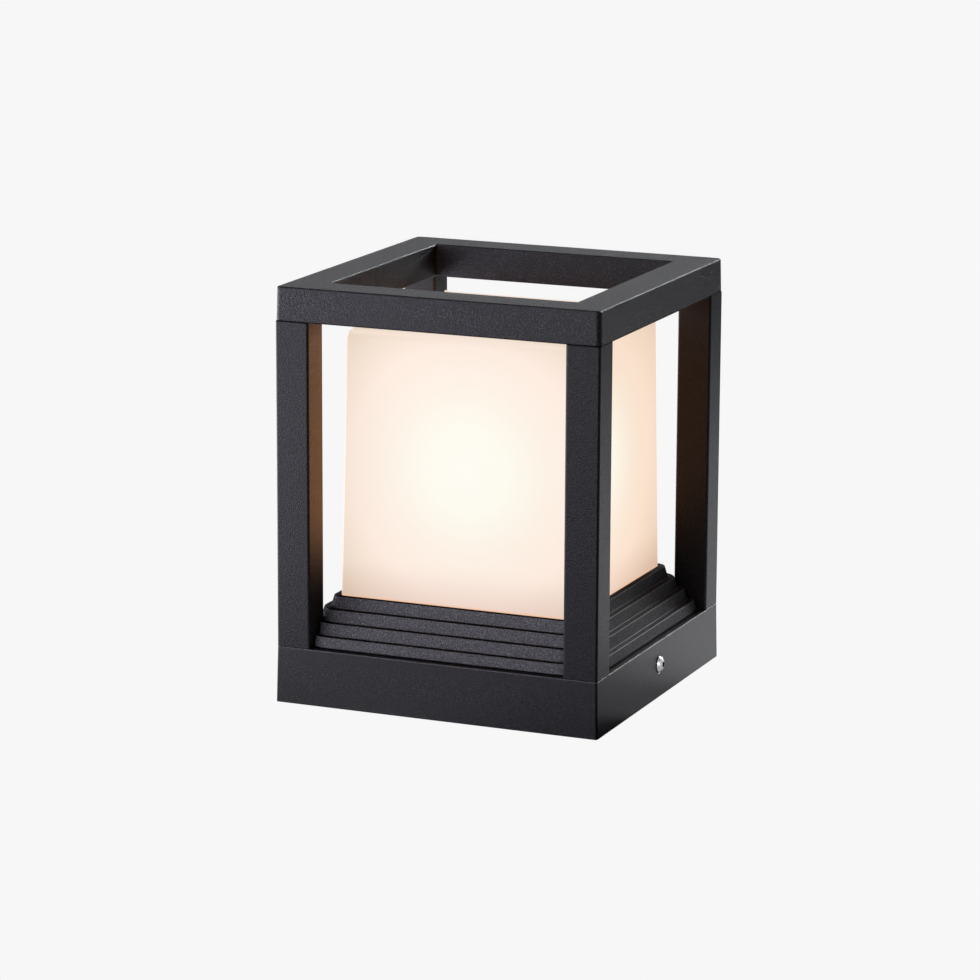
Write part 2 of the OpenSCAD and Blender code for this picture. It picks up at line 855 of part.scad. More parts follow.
module earth_lug() {
    barrel_y = earth_y + 6;
    color(zinc)
        difference() {
            union() {
                translate([earth_x, earth_y, plinth_under - lug_t])
                    cylinder(r = 4.5, h = lug_t, $fn = 48);
                translate([earth_x - 2, earth_y, plinth_under - lug_t])
                    cube([4, 8, lug_t]);
                translate([earth_x, barrel_y, lug_z + lead_r])
                    rotate([-90, 0, 0]) cylinder(r = lead_r + 0.7, h = 5, $fn = 32);
            }
            translate([earth_x, earth_y, plinth_under - 2])
                cylinder(r = m4_r + hole_gap, h = 4, $fn = 48);
            translate([earth_x, barrel_y - cut, lug_z + lead_r])
                rotate([-90, 0, 0])
                    cylinder(r = lead_r + thread_gap, h = 6 + cut, $fn = 32);
        }
}

module earth_screw() {
    color(brass_tone)
        translate([earth_x, earth_y, plinth_under - lug_t])
            screw(m4_r, lug_t + screw_bite, 3.4, 2.6, 1.6);
}

module wiring_cover() {
    color(zinc)
        difference() {
            block(cover_hw, cover_z, cover_top_z);
            translate([0, -gland_y, cover_z - cut])
                cylinder(r = gland_thread_r + hole_gap, h = cover_t + 2 * cut, $fn = 64);
            at_sides(cover_screw_c)
                translate([0, 0, cover_z - cut])
                    cylinder(r = m4_r + hole_gap, h = cover_t + 2 * cut, $fn = 48);
            at_block_screws()
                translate([0, 0, -cover_t - cut])
                    cylinder(r = m3_r + thread_gap, h = cover_t + 2 * cut, $fn = 32);
        }
}

module cover_gasket() {
    color(rubber_tone)
        difference() {
            block(cover_hw, cover_top_z, plate_under);
            block(window_w / 2, cover_top_z - cut, plate_under + cut);
            at_sides(cover_screw_c)
                translate([0, 0, cover_top_z - cut])
                    cylinder(r = m4_r + hole_gap, h = gasket_t + 2 * cut, $fn = 48);
        }
}

module cover_screws() {
    color(zinc)
        at_sides(cover_screw_c)
            translate([0, 0, cover_z]) screw(m4_r, cover_t + gasket_t + 3, 3.6, 2.6, 1.6);
}

module gland_nut() {
    color(rubber_tone)
        translate([0, -gland_y, cover_top_z])
            difference() {
                cylinder(r = gland_hex_r, h = gland_nut_h, $fn = 6);
                translate([0, 0, -cut])
                    cylinder(r = gland_thread_r + thread_gap, h = gland_nut_h + 2 * cut, $fn = 64);
            }
}

module gland_washer() {
    color(rubber_tone)
        translate([0, -gland_y, cover_z - gland_washer_t])
            ring(gland_thread_r + 2.5, gland_thread_r + thread_gap, gland_washer_t);
}

module gland_body() {
    spigot_z = collar_z - gland_spigot_len;
    top_z = cover_top_z + gland_nut_h + 1;
    color(rubber_tone)
        translate([0, -gland_y, 0])
            difference() {
                union() {
                    translate([0, 0, collar_z])
                        cylinder(r = gland_hex_r, h = gland_collar_h, $fn = 6);
                    translate([0, 0, collar_z])
                        cylinder(r = gland_thread_r, h = top_z - collar_z, $fn = 64);
                    translate([0, 0, spigot_z])
                        cylinder(r = gland_spigot_r, h = gland_spigot_len + cut, $fn = 64);
                }
                translate([0, 0, spigot_z - cut])
                    cylinder(r = cable_r + 0.8, h = top_z - spigot_z + 2 * cut, $fn = 64);
                translate([0, 0, spigot_z - cut])
                    cylinder(r = seal_out_r + thread_gap, h = seal_len + cut, $fn = 64);
            }
}

module gland_seal() {
    color("#5a5a5e")
        translate([0, -gland_y, collar_z - gland_spigot_len])
            ring(seal_out_r, cable_r, seal_len);
}

module gland_cap() {
    wall_z = collar_z - fit_gap - gland_cap_h;
    color(rubber_tone)
        translate([0, -gland_y, 0])
            difference() {
                translate([0, 0, wall_z]) cylinder(r = gland_hex_r, h = gland_cap_h, $fn = 6);
                translate([0, 0, wall_z - cut])
                    cylinder(r = cable_r + 0.8, h = gland_cap_h, $fn = 64);
                translate([0, 0, collar_z - gland_spigot_len - thread_gap])
                    cylinder(r = gland_spigot_r + thread_gap, h = gland_spigot_len + cut, $fn = 64);
            }
}

// ---- Fixing ----

module mounting_bracket() {
    color(zinc)
        difference() {
            union() {
                translate([-ear_out, -bracket_d / 2, 0])
                    cube([2 * ear_out, bracket_d, bracket_t]);
                for (side = [-1, 1])
                    translate([side * (ear_out - bracket_t / 2), 0, ear_h / 2])
                        cube([bracket_t, ear_w, ear_h], center = true);
            }
            block(bracket_window / 2, -cut, bracket_t + cut);
            at_corners(anchor_x / 2, anchor_y / 2)
                translate([0, 0, -cut]) cylinder(r = anchor_r, h = bracket_t + 2 * cut, $fn = 48);
            for (side = [-1, 1])
                mirror([side < 0 ? 1 : 0, 0, 0]) ear_slot();
        }
}

// The slot that opens at the ear's top, so that the lantern lifts off with its screws
module ear_slot() {
    slot_r = m5_r + 0.5;
    translate([ear_in - cut, 0, lock_z])
        rotate([0, 90, 0]) cylinder(r = slot_r, h = bracket_t + 2 * cut, $fn = 48);
    translate([ear_in - cut, -slot_r, lock_z])
        cube([bracket_t + 2 * cut, 2 * slot_r, ear_h]);
}

module clamp_nuts() {
    color(zinc)
        for (side = [-1, 1])
            difference() {
                translate([side * (ear_in - fit_gap - nut_plate_t / 2), 0, lock_z])
                    cube([nut_plate_t, nut_plate_w, nut_plate_h], center = true);
                translate([side * ear_in, 0, lock_z])
                    rotate([0, -side * 90, 0])
                        cylinder(r = m5_r + thread_gap, h = nut_plate_t + 2 * cut, $fn = 48);
            }
}

// A domed screw along -X with its socket facing +X, whose head bears on the washer
module lock_screw() {
    dome_r = (pow(lock_head_r, 2) + pow(lock_head_h, 2)) / (2 * lock_head_h);
    color(steel)
        translate([half_w + washer_t, 0, lock_z])
            rotate([0, 90, 0])
                difference() {
                    union() {
                        intersection() {
                            translate([0, 0, lock_head_h - dome_r]) sphere(r = dome_r, $fn = 96);
                            cylinder(r = lock_head_r - 0.05, h = lock_head_h, $fn = 96);
                        }
                        translate([0, 0, -lock_len]) cylinder(r = m5_r, h = lock_len + 0.5, $fn = 48);
                    }
                    translate([0, 0, lock_head_h - 1.6])
                        cylinder(r = 1.75, h = 2, $fn = 6);
                }
}

module screw_washer() {
    color(rubber_tone)
        translate([half_w, 0, lock_z])
            rotate([0, 90, 0]) ring(washer_r, m5_r + thread_gap, washer_t);
}

mounting_bracket();
base_housing();
stepped_plinth();
plinth_gasket();
plinth_screws();
post(-1, -1);  // post_front_left
post(1, -1);  // post_front_right
post(-1, 1);  // post_rear_left
post(1, 1);  // post_rear_right
top_ring();
tie_bolts();
tie_washers();
shade();
shade_gasket();
shade_springs();
spring_screws();
holder_strap();
strap_screws();
lampholder_body();
lampholder_shell();
lampholder_contact();
lampholder_screws();
lampholder_nuts();
bulb_globe();
bulb_housing();
bulb_cap();
bulb_insulator();
bulb_contact();
led_board();
terminal_block();
terminal_sleeves();
terminal_screws();
block_screws();
lead(lead_route(-pole_pitch, -lead_x), "#7a4a2a");  // live_lead
lead(lead_route(pole_pitch, lead_x), "#2f5fa8");  // neutral_lead
lead(earth_route, "#5d9a3c");  // earth_lead
earth_lug();
earth_screw();
wiring_cover();
cover_gasket();
cover_screws();
gland_body();
gland_cap();
gland_seal();
gland_nut();
gland_washer();
mirror([1, 0, 0]) lock_screw();  // lock_screw_left
lock_screw();  // lock_screw_right
mirror([1, 0, 0]) screw_washer();  // screw_washer_left
screw_washer();  // screw_washer_right
clamp_nuts();
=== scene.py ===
# %% [markdown]
# # A square lantern for the top of a pillar
#
# The solids of this lantern were drawn in a CAD program and packed as a frame. This lesson
# dresses them: it rounds the edges that the eye reads, gives each finish its grain, lights the
# shade from inside and sets up a plain studio. Nothing in the frame is moved. Where a solid
# needs softer edges, a copy of it stands in its place.

# %% The frame
import math

import bmesh
import bpy
from mathutils import Matrix, Vector
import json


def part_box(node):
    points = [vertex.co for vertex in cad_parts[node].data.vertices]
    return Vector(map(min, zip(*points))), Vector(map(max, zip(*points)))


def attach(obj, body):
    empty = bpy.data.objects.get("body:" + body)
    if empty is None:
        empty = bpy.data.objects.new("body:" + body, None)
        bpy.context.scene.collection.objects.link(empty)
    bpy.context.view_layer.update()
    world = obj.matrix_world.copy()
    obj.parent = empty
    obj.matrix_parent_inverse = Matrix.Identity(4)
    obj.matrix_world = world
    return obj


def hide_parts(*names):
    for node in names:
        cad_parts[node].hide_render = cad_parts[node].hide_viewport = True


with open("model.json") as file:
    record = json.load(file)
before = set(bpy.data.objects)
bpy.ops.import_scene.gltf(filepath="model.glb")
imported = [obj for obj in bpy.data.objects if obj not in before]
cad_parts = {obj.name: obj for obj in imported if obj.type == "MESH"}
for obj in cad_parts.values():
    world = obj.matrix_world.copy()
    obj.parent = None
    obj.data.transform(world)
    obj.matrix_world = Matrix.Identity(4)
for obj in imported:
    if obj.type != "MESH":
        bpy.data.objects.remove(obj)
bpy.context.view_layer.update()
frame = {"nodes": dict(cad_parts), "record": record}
mm = 0.001


def placed(name, data):
    """A new object that shows in the scene."""
    made = bpy.data.objects.new(name, data)
    bpy.context.scene.collection.objects.link(made)
    return made


# %% [markdown]
# ## The camera
#
# The photograph was taken with a long lens from a little above and to the right. The camera's
# place was found by matching corners of the cage, so it is written as an angle round the
# lantern, a distance and a small sideways step. The matrix is filled in by hand from three
# axes, because a slight roll can't be had from a track-to rule alone.

# %% Camera
azimuth, elevation, roll = (math.radians(a) for a in (22.87, 12.70, 0.28))
distance, aside, above = 2.39662, -0.00694, 0.11287
photo_focal, photo_width = 3990.81, 980  # in pixels
sensor = 36.0  # in millimetres

back = Vector((math.sin(azimuth) * math.cos(elevation),
               -math.cos(azimuth) * math.cos(elevation), math.sin(elevation)))
level = Vector((math.cos(azimuth), math.sin(azimuth), 0))
upright = back.cross(level)
across = math.cos(roll) * level + math.sin(roll) * upright
upward = math.cos(roll) * upright - math.sin(roll) * level

lens = bpy.data.cameras.new("studio_camera")
lens.sensor_width, lens.lens = sensor, photo_focal / photo_width * sensor
lens.clip_start, lens.clip_end = 0.05, 50.0
camera = placed("studio_camera", lens)
place = back * distance + across * aside + upward * above
camera.matrix_world = Matrix([(*row, place[i]) for i, row in
                              enumerate(zip(across, upward, back))] + [(0, 0, 0, 1)])
bpy.context.scene.camera = camera
print("camera:", [round(v, 3) for v in camera.matrix_world.translation], "m")

# %% [markdown]
# ## Sums in node trees
#
# A finish and a Geometry Nodes plan are both trees of nodes. Drawing them link by link is
# slow to read, so a small class wraps one socket: sums and products of wires add the Math
# nodes by themselves, and one method makes any other node from its settings and its inputs.
# Some nodes name several sockets alike, so a few inputs and outputs are given by number.

# %% Wires
class Wire:
    """An output socket that can be added, multiplied and compared."""

    def __init__(self, drawing, socket):
        self.drawing, self.socket = drawing, socket

    def through(self, operation, *others):
        """This wire, and perhaps others, through one Math node."""
        return self.drawing.maths(operation, self, *others)

    def __add__(self, other):
        return self.through("ADD", other)

    def __sub__(self, other):
        return self.through("SUBTRACT", other)

    def __rsub__(self, other):
        return self.drawing.maths("SUBTRACT", other, self)

    def __mul__(self, other):
        return self.through("MULTIPLY", other)

    def __truediv__(self, other):
        return self.through("DIVIDE", other)

    def __pow__(self, other):
        return self.through("POWER", other)

    def __abs__(self):
        return self.through("ABSOLUTE")

    __radd__, __rmul__ = __add__, __mul__

    def above(self, low, high):
        """0 below low, 1 past high, and a soft step between them."""
        return self.drawing.node("ShaderNodeMapRange", {"interpolation_type": "SMOOTHSTEP"},
                                 {"Value": self, "From Min": low, "From Max": high})

    def below(self, low, high):
        """1 below low, 0 past high, and a soft step between them."""
        return 1 - self.above(low, high)


# Outputs of a Texture Coordinate node, and the colour sockets of a Mix node.
generated, facing, located = 0, 1, 3
mix_first, mix_second, mix_result = 6, 7, 2


class Drawing:
    """A node tree that is drawn up one node at a time."""

    def __init__(self, tree):
        self.tree = tree
        tree.nodes.clear()

    def node(self, kind, settings=(), inputs=(), out=0):
        made = self.tree.nodes.new(kind)
        for name, value in dict(settings).items():
            if name == "stops":
                while len(made.color_ramp.elements) < len(value):
                    made.color_ramp.elements.new(1.0)
                for element, (at, colour) in zip(made.color_ramp.elements, value):
                    element.position, element.color = at, (*colour, 1.0)
            else:
                setattr(made, name, value)
        for key, value in dict(inputs).items():
            socket = made.inputs[key]
            if isinstance(value, Wire):
                self.tree.links.new(value.socket, socket)
            elif isinstance(value, tuple) and len(value) == 3 and socket.type == "RGBA":
                socket.default_value = (*value, 1.0)
            else:
                socket.default_value = value
        return Wire(self, made.outputs[out])

    def maths(self, operation, *terms):
        return self.node("ShaderNodeMath", {"operation": operation}, dict(enumerate(terms)))

    def mix(self, factor, first, second):
        """One colour turning into another."""
        return self.node("ShaderNodeMix", {"data_type": "RGBA"},
                         {0: factor, mix_first: first, mix_second: second}, out=mix_result)

    def times(self, first, second):
        """One colour darkened by another."""
        return self.node("ShaderNodeMix", {"data_type": "RGBA", "blend_type": "MULTIPLY"},
                         {0: 1.0, mix_first: first, mix_second: second}, out=mix_result)

    def apart(self, vector):
        """The three numbers of a vector, each as a wire."""
        split = self.node("ShaderNodeSeparateXYZ", {}, {0: vector}).socket.node
        return [Wire(self, socket) for socket in split.outputs]

    def seen(self):
        """1 for what the camera sees, 0 for the light that other things get."""
        return self.node("ShaderNodeLightPath")


class Finish(Drawing):
    """A material whose pattern sits still on the piece, in Object coordinates."""

    def __init__(self, name):
        self.material = bpy.data.materials.new(name)
        self.material.use_nodes = True
        super().__init__(self.material.node_tree)
        self.place = self.node("ShaderNodeTexCoord", out=located)
        self.cover = None  # or where a second shader shows, and that shader

    def normal(self):
        """The way that the surface faces, as three numbers."""
        return self.apart(self.node("ShaderNodeTexCoord", out=facing))

    def noise(self, per_metre, detail, roughness, place=None):
        return self.node("ShaderNodeTexNoise", {}, {
            "Vector": place or self.place, "Scale": per_metre, "Detail": detail,
            "Roughness": roughness})

    def stretched(self, x, y, z):
        """The place, drawn out along some axes, for grain with a direction."""
        return self.node("ShaderNodeMapping", {}, {"Vector": self.place, "Scale": (x, y, z)})

    def bump(self, height, depth, strength):
        return self.node("ShaderNodeBump", {}, {
            "Height": height, "Distance": depth, "Strength": strength})

    def surface(self, **inputs):
        named = {key.replace("_", " "): value for key, value in inputs.items()}
        shader = self.node("ShaderNodeBsdfPrincipled", {}, named)
        if self.cover:
            where, second = self.cover
            shader = self.node("ShaderNodeMixShader", {}, {0: where, 1: shader, 2: second})
        output = self.tree.nodes.new("ShaderNodeOutputMaterial")
        self.tree.links.new(shader.socket, output.inputs["Surface"])
        return self.material


finishes = {}
print("sums and finishes ready")

# %% [markdown]
# ## Powder coat
#
# The cage, the steps and the base are cast and extruded aluminium under a matt black powder
# coat. Powder melts into a skin that is never flat: it keeps a fine leathery grain, less than a
# millimetre from bump to bump, and each bump catches a speck of light. One noise makes the
# leather and a slightly tighter one the specks. Both also move the roughness a little, and so
# does a wide cloud, so that the sheen breaks up the way it does on the real skin. A casting
# takes more powder in its corners than an extrusion does, so the steps and the ring get a
# coarser grain.
#
# Three places differ from the open skin, and each is painted light. The seam between the posts
# and the ring gets painted shade, a near-black line that hardly shines, and the one between the
# posts and the base gets a painted highlight, a pale broken line. On the steps, the treads and
# the risers of the two sides get painted shade, and the rounded edges on the right get a painted
# highlight. The painted shade is a second shader, and the height, the distance from the axis and
# the way that the surface faces say where it shows.

# %% Powder coat
base_top, ring_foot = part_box("base_housing")[1][2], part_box("top_ring")[0][2]
cage_half, shade_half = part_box("top_ring")[1][0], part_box("shade")[1][0]
# Two tones of leather, and that of the specks.
plain_tones = (0.0060, 0.0060, 0.0066), (0.0120, 0.0120, 0.0130), (0.090, 0.090, 0.096)
cast_tones = (0.022, 0.022, 0.024), (0.140, 0.140, 0.148), (0.300, 0.300, 0.310)
# Painted highlights: a pale line on the base's seam, and a pale tone on the steps' right-facing
# edges.
seam_highlight_tone, edge_highlight_tone = (0.10, 0.10, 0.11), (0.22, 0.22, 0.22)


class Coat(Finish):
    """Powder coat: the grain, and the places with painted shade and painted highlights."""

    def __init__(self, name, tones, grain, sparkle):
        super().__init__(name)
        low, high, spark = tones
        specks = self.noise(1900.0, 1.0, 0.4)
        self.leather = self.noise(1500.0, 2.0, 0.5)
        self.glint = specks.above(0.56, 0.74)
        self.tone = self.mix(self.leather.above(0.25, 0.75), low, high)
        self.tone = self.mix(self.glint * sparkle, self.tone, spark)
        self.skin = self.bump(self.leather + specks * 0.5, grain, 1.0)
        self.x, self.y, self.z = self.apart(self.place)
        self.out = abs(self.x).through("MAXIMUM", abs(self.y))

    def seam(self, height):
        """A fine line round the outer faces of the cage, for the painted shade and the painted
        highlight of the seams.
        """
        beside = abs(self.z - height).below(0.30 * mm, 0.75 * mm)
        return beside * self.out.above(cage_half - 1.2 * mm, cage_half - 0.6 * mm)

    def painted_shade(self):
        """A second shader, near black and hardly shining: painted shade."""
        return self.node("ShaderNodeBsdfPrincipled", {}, {
            "Base Color": (0.002, 0.002, 0.002), "Roughness": 0.75,
            "Specular IOR Level": 0.06, "Normal": self.skin})

    def done(self, roughness, gloss):
        """The material, with a wide cloud in its sheen."""
        cloud = self.noise(26.0, 2.0, 0.5)
        return self.surface(
            Base_Color=self.tone,
            Roughness=roughness + self.leather * 0.10 + cloud * 0.04 - self.glint * 0.08,
            Specular_IOR_Level=gloss, Normal=self.skin)


def base_coat(name):
    coat = Coat(name, plain_tones, grain=0.07 * mm, sparkle=0.6)
    # A painted highlight: a pale broken line along the seam where the posts stand on the base.
    painted_seam_highlight = coat.seam(base_top) * coat.leather.above(0.30, 0.55)
    coat.tone = coat.mix(painted_seam_highlight, coat.tone, seam_highlight_tone)
    return coat.done(roughness=0.31, gloss=0.50)


def cage_coat(name, grain, sparkle, roughness, gloss):
    coat = Coat(name, plain_tones, grain, sparkle)
    # Painted shade: a near-black line that hardly shines, along the seam under the ring.
    coat.cover = (coat.seam(ring_foot) * 0.9, coat.painted_shade())
    return coat.done(roughness, gloss)


def step_coat(name):
    coat = Coat(name, cast_tones, grain=0.60 * mm, sparkle=1.0)
    nx, _, nz = coat.normal()
    open_air = coat.out.above(shade_half - 0.3 * mm, shade_half + 0.3 * mm)
    front_or_rear = (abs(coat.y) - abs(coat.x)).above(0.0, 2 * mm)
    # Painted shade on the treads outside the opal, full on the front and the rear and a little
    # less on the two sides.
    painted_tread_shade = nz.above(0.86, 0.97) * open_air * front_or_rear.through("MAXIMUM", 0.55)
    edge = nz.above(0.38, 0.60) * nz.below(0.80, 0.97)
    # Painted shade on the risers of the two sides, off their rounded edges.
    painted_flank_shade = abs(nx).above(0.5, 0.8) * (1 - edge) * open_air * 0.66
    coat.cover = (painted_tread_shade.through("MAXIMUM", painted_flank_shade), coat.painted_shade())
    # A painted highlight: a pale tone on the rounded step edges that face right.
    coat.tone = coat.mix(edge * nx.above(0.3, 0.6), coat.tone, edge_highlight_tone)
    return coat.done(roughness=0.50, gloss=0.50)


finishes["powder_coat"] = base_coat("powder_coat")
finishes["coarse_coat"] = cage_coat("coarse_coat", grain=0.50 * mm, sparkle=1.0,
                                    roughness=0.25, gloss=0.34)
finishes["post_coat"] = cage_coat("post_coat", grain=0.20 * mm, sparkle=0.6,
                                  roughness=0.31, gloss=0.37)
finishes["cast_coat"] = step_coat("cast_coat")
print("coats:", sorted(finishes))

# %% [markdown]
# ## Frosted opal, lit from inside
#
# The shade is frosted opal acrylic. What the eye sees is the lamp's light after the wall has
# scattered it: nearly white where the way from the lamp is short, and pinker and dimmer
# towards the foot and the corners. Each wall has a glow centre of its own, and the pattern is a
# colour ramp over the distance from it, measured along that wall. The wall's own direction,
# read from the object's normals, says which centre counts, so the far walls glow as the near
# ones do, and the lid takes its glow from the middle.
#
# What the wall sends to the posts and the steps is another light. It is stronger and redder
# than the cream that the camera sees, and it comes from the walls and hardly from the lid. A
# Light Path node tells the two apart.

# %% Opal shade
glow_z, glow_x, glow_y = 141.5 * mm, 7.5 * mm, -30.0 * mm
glow_reach = 130.0 * mm
glow_stops = [
    (0.00, (0.985, 0.985, 0.885)),
    (0.20, (0.985, 0.965, 0.845)),
    (0.39, (0.99, 0.885, 0.765)),
    (0.58, (1.00, 0.842, 0.725)),
    (0.77, (0.895, 0.740, 0.60)),
    (1.00, (0.72, 0.550, 0.42)),
]
side_width = 0.88  # what a step sideways counts on the two sides, against 1 on the front
side_wall, side_glow = (1.035, 0.965, 0.90), (1.07, 1.05, 1.04)
shade_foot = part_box("shade")[0][2]
foot_fade = shade_foot - 1.6 * mm, shade_foot + 26.4 * mm
foot_tint, rim_tint, mottle_tint = (0.88, 0.82, 0.815), (0.95, 0.56, 0.32), (0.9, 0.7, 0.6)
# What the posts and the steps get: the least, near the foot, and the most, from the walls.
sent_low, sent_high = (0.06, 0.025, 0.012), (2.10, 0.94, 0.40)
sent_rise = 62.0 * mm, 110.0 * mm


def opal_shade():
    opal = Finish("opal_shade")
    x, y, z = opal.apart(opal.place)
    nx, ny, nz = opal.normal()
    side = abs(nx).above(0.4, 0.8)
    lid = nz.above(0.3, 0.9)
    wall_x = x * ny.through("SIGN") * -1 - glow_x
    wall_y = (y * nx.through("SIGN") - glow_y) * side_width
    along = (wall_x * (1 - side) + wall_y * side) * (1 - lid)
    centre = (x ** 2 + y ** 2) ** 0.5 * lid
    up = (z - glow_z) * (1 - lid * 0.5)
    reach = (along ** 2 + centre ** 2 + up ** 2) ** 0.5
    glow = opal.node("ShaderNodeValToRGB", {"stops": glow_stops}, {0: reach / glow_reach})
    side_tint = opal.mix(reach.above(10 * mm, 70 * mm), side_glow, side_wall)
    glow = opal.times(glow, opal.mix(side, (1.0, 1.0, 1.0), side_tint))
    glow = opal.times(glow, opal.mix(z.above(*foot_fade), foot_tint, (1.0, 1.0, 1.0)))
    rim = z.below(shade_foot + 0.3 * mm, shade_foot + 1.5 * mm)
    glow = opal.mix(rim * 0.8, glow, rim_tint)
    mottle = opal.noise(14.0, 2.0, 0.5)
    glow = opal.mix(mottle * 0.02, glow, mottle_tint)
    share = z.above(*sent_rise) * (1 - lid * 0.95) * (1 - nx * 0.45) * 0.62
    sent = opal.mix(share, sent_low, sent_high)
    glow = opal.mix(opal.seen(), sent, glow)
    frost = opal.noise(2600.0, 2.0, 0.5)
    return opal.surface(
        Base_Color=opal.mix(mottle * 0.2, (0.10, 0.09, 0.085), (0.08, 0.072, 0.066)),
        Roughness=0.50 + frost * 0.08,
        Emission_Color=glow, Emission_Strength=0.90,
        Normal=opal.bump(frost, 0.02 * mm, 0.3))


finishes["opal_shade"] = opal_shade()
print("glow centre on the front wall (mm):", round(glow_x / mm, 1), round(glow_z / mm, 1))

# %% [markdown]
# ## Metals
#
# The hardware has three metals. Zinc plate has a faint crystal pattern and a haze of handling,
# and here a Voronoi texture gives each crystal its own tone. Stainless steel is turned and
# brushed, so its grain is a noise that is drawn out along one axis. Brass is warmer and has gone
# a little brown in clouds. All three are full metals, so only tone, roughness and bump tell them
# apart. The two side screws have a finish of their own, a blasted steel that is pale from every
# side, because it mirrors only in part, with painted shade in the socket of the head.

# %% Metals
# The two radii are the soft edge of the painted shade in the hex socket of the screw head.
screw_z, socket_shade_edge = 19.8 * mm, (1.55 * mm, 1.95 * mm)  # the screws' height, the hex socket


def zinc_plate():
    zinc = Finish("zinc_steel")
    crystal = zinc.node("ShaderNodeTexVoronoi", {}, {"Vector": zinc.place, "Scale": 260.0}, out=1)
    crystal = zinc.node("ShaderNodeSeparateColor", {}, {0: crystal})
    haze = zinc.noise(55.0, 4.0, 0.6)
    drawn = zinc.noise(700.0, 2.0, 0.5, zinc.stretched(1.0, 0.06, 1.0))
    tone = zinc.mix(crystal, (0.50, 0.52, 0.54), (0.62, 0.64, 0.66))
    tone = zinc.mix(haze.above(0.45, 0.80) * 0.5, tone, (0.36, 0.36, 0.34))
    return zinc.surface(
        Base_Color=tone, Metallic=1.0, Roughness=0.26 + crystal * 0.12 + haze * 0.16,
        Normal=zinc.bump(drawn, 0.02 * mm, 0.5))


def stainless():
    steel = Finish("stainless")
    turned = steel.noise(1500.0, 2.0, 0.5, steel.stretched(0.05, 1.0, 1.0))
    smear = steel.noise(90.0, 3.0, 0.6)
    tone = steel.mix(turned.above(0.2, 0.8), (0.44, 0.43, 0.42), (0.58, 0.57, 0.55))
    return steel.surface(
        Base_Color=tone, Metallic=1.0, Roughness=0.22 + turned * 0.10 + smear * 0.12,
        Normal=steel.bump(turned, 0.012 * mm, 0.5))


def brass():
    alloy = Finish("brass")
    tarnish = alloy.noise(70.0, 4.0, 0.6)
    drawn = alloy.noise(1200.0, 2.0, 0.5, alloy.stretched(1.0, 1.0, 0.08))
    tone = alloy.mix(tarnish.above(0.42, 0.75), (0.68, 0.47, 0.20), (0.38, 0.24, 0.10))
    return alloy.surface(
        Base_Color=tone, Metallic=1.0, Roughness=0.24 + tarnish * 0.22 + drawn * 0.06,
        Normal=alloy.bump(drawn, 0.015 * mm, 0.5))


def bright_steel():
    """Blasted steel for the two side screws, which share one axis across the lantern."""
    steel = Finish("bright_steel")
    blast = steel.noise(2400.0, 2.0, 0.5)
    _, y, z = steel.apart(steel.place)
    out = (y ** 2 + (z - screw_z) ** 2) ** 0.5
    tone = steel.mix(blast.above(0.2, 0.8), (0.76, 0.76, 0.75), (0.88, 0.88, 0.87))
    # Painted shade: near black inside the hex socket.
    tone = steel.mix(out.above(*socket_shade_edge), (0.015, 0.015, 0.015), tone)
    return steel.surface(
        Base_Color=tone, Metallic=0.45, Roughness=0.38 + blast * 0.12,
        Normal=steel.bump(blast, 0.02 * mm, 0.5))


metals = {"zinc_steel": zinc_plate(), "stainless": stainless(), "brass": brass(),
          "bright_steel": bright_steel()}
finishes.update(metals)
print("metals:", sorted(metals))

# %% [markdown]
# ## Plastics, rubber and ceramic
#
# Moulded plastic copies the spark-eroded skin of its mould, which a fine noise in the bump
# gives. Rubber is the same idea, duller and with a bloom of lighter dust. The lamp's globe is
# opal plastic that glows, and its ceramic holder is glazed: smooth under a clear coat, with a
# few iron specks and slow waves in the glaze.

# %% Plastics
def moulded(name, low, high, roughness):
    plastic = Finish(name)
    grain = plastic.noise(1400.0, 2.0, 0.5)
    flow = plastic.noise(45.0, 3.0, 0.5)
    return plastic.surface(
        Base_Color=plastic.mix(flow.above(0.3, 0.7), low, high),
        Roughness=roughness + grain * 0.10 + flow * 0.06,
        Normal=plastic.bump(grain, 0.02 * mm, 0.6))


def rubber():
    seal = Finish("seal_rubber")
    grain = seal.noise(2000.0, 3.0, 0.6)
    bloom = seal.noise(120.0, 4.0, 0.6)
    tone = seal.mix(bloom.above(0.45, 0.85), (0.012, 0.012, 0.012), (0.040, 0.039, 0.037))
    return seal.surface(
        Base_Color=tone, Roughness=0.62 + grain * 0.20,
        Normal=seal.bump(grain, 0.04 * mm, 0.7))


def opal_globe():
    globe = Finish("opal_globe")
    crown = globe.apart(globe.place)[2].above(110.0 * mm, 150.0 * mm)
    frost = globe.noise(1800.0, 2.0, 0.5)
    glow = globe.mix(crown, (1.0, 0.74, 0.47), (1.0, 0.90, 0.72))
    return globe.surface(
        Base_Color=globe.mix(frost * 0.3, (0.78, 0.77, 0.74), (0.70, 0.69, 0.66)),
        Roughness=0.42 + frost * 0.08, Emission_Color=glow, Emission_Strength=0.95,
        Normal=globe.bump(frost, 0.01 * mm, 0.4))


def glazed_ceramic():
    glaze = Finish("porcelain")
    speck = glaze.noise(900.0, 1.0, 0.4).above(0.70, 0.76)
    wave = glaze.noise(80.0, 2.0, 0.5)
    tone = glaze.mix(wave.above(0.3, 0.7), (0.70, 0.68, 0.63), (0.77, 0.76, 0.71))
    tone = glaze.mix(speck * 0.6, tone, (0.25, 0.20, 0.15))
    return glaze.surface(
        Base_Color=tone, Roughness=0.20 + wave * 0.12, Coat_Weight=0.6,
        Normal=glaze.bump(wave, 0.15 * mm, 0.4))


